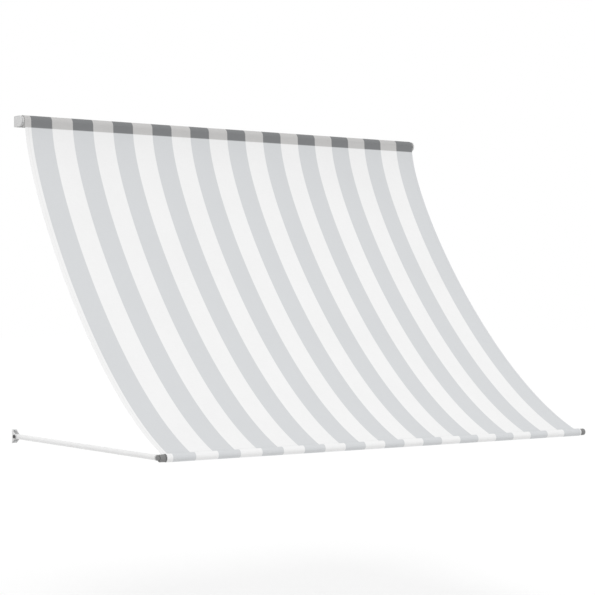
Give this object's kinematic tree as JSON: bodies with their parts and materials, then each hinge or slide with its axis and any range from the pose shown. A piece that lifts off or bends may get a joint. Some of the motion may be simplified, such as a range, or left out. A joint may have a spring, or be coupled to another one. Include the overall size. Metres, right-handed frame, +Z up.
{
  "type": "drop-arm awning",
  "caption": "Roll-up fabric awning with wall brackets, a cord-driven roller, and sliding arms that swing the front bar down.",
  "frame": {"origin": "centre of the left head bracket's wall face, at the height of the roller's axis", "axes": "+X along the roller to the right seen from the street, +Y into the wall, +Z up"},
  "size_m": [2.5796, 1.4808, 1.6833],
  "materials": {
    "bracket_steel": "light grey powder coat, satin",
    "white_steel": "white powder coat, satin",
    "zinc": "zinc plated",
    "aluminium": "mill finish",
    "black_plastic": "fine moulded grain",
    "grey_plastic": "moulded, satin",
    "awning_cloth": "woven, broad grey and off-white stripes",
    "pull_cord": "braided cord"
  },
  "bodies": {
    "wall_parts": {"left_head_bracket": "bracket_steel", "left_shaft_bush": "black_plastic", "left_bracket_cover": "grey_plastic", "left_foot_bracket": "bracket_steel", "left_pivot_bolt": "zinc", "left_pivot_knob": "black_plastic", "right_head_bracket": "bracket_steel", "right_shaft_bush": "black_plastic", "right_bracket_cover": "grey_plastic", "right_foot_bracket": "bracket_steel", "right_pivot_bolt": "zinc", "right_pivot_knob": "black_plastic", "cord_tensioner": "grey_plastic", "pull_cord": "pull_cord", "hanging_cloth": "awning_cloth"},
    "roller": {"roller_tube": "aluminium", "wound_cloth": "awning_cloth", "left_roller_plug": "grey_plastic", "right_roller_plug": "grey_plastic", "cord_pulley": "grey_plastic"},
    "left_arm": {"left_arm_eye": "bracket_steel", "left_outer_tube": "white_steel", "left_guide_bush": "grey_plastic"},
    "left_slider": {"left_inner_tube": "white_steel", "left_elbow_head": "black_plastic"},
    "right_arm": {"right_arm_eye": "bracket_steel", "right_outer_tube": "white_steel", "right_guide_bush": "grey_plastic"},
    "right_slider": {"right_inner_tube": "white_steel", "right_elbow_head": "black_plastic"},
    "front_bar": {"front_bar_tube": "aluminium", "cloth_pocket": "awning_cloth", "left_bar_plug": "black_plastic", "right_bar_plug": "black_plastic", "left_pin_cap": "black_plastic", "right_pin_cap": "black_plastic"}
  },
  "joints": [
    {"name": "left_arm_swing", "type": "hinge", "parent": "wall_parts", "child": "left_arm", "pos_m": [-0.0335, -0.031, -1.59], "axis": [-1, 0, 0], "range_deg": [0, 85], "deforming": ["hanging_cloth"]},
    {"name": "left_arm_slide", "type": "slide", "parent": "left_arm", "child": "left_slider", "axis": [0, -1, 0], "range_m": [0, 0.2034]},
    {"name": "right_arm_swing", "type": "hinge", "parent": "wall_parts", "child": "right_arm", "pos_m": [2.5035, -0.031, -1.59], "axis": [-1, 0, 0], "range_deg": [0, 85]},
    {"name": "right_arm_slide", "type": "slide", "parent": "right_arm", "child": "right_slider", "axis": [0, -1, 0], "range_m": [0, 0.2034]},
    {"name": "front_bar_turn", "type": "hinge", "parent": "left_slider", "child": "front_bar", "pos_m": [1.235, -1.462, -1.59], "axis": [-1, 0, 0], "range_deg": [-57.9, 0]},
    {"name": "roller_spin", "type": "hinge", "parent": "wall_parts", "child": "roller", "pos_m": [1.235, -0.055, 0], "axis": [-1, 0, 0], "continuous": true}
  ],
  "couplings": [
    {"joint": "left_arm_slide", "follows": "left_arm_swing", "m_per_rad": 0.13711},
    {"joint": "right_arm_swing", "follows": "left_arm_swing", "ratio": 1},
    {"joint": "right_arm_slide", "follows": "left_arm_swing", "m_per_rad": 0.13711},
    {"joint": "front_bar_turn", "follows": "left_arm_swing", "ratio": -0.68118},
    {"joint": "roller_spin", "follows": "left_arm_swing", "ratio": 47.4}
  ]
}
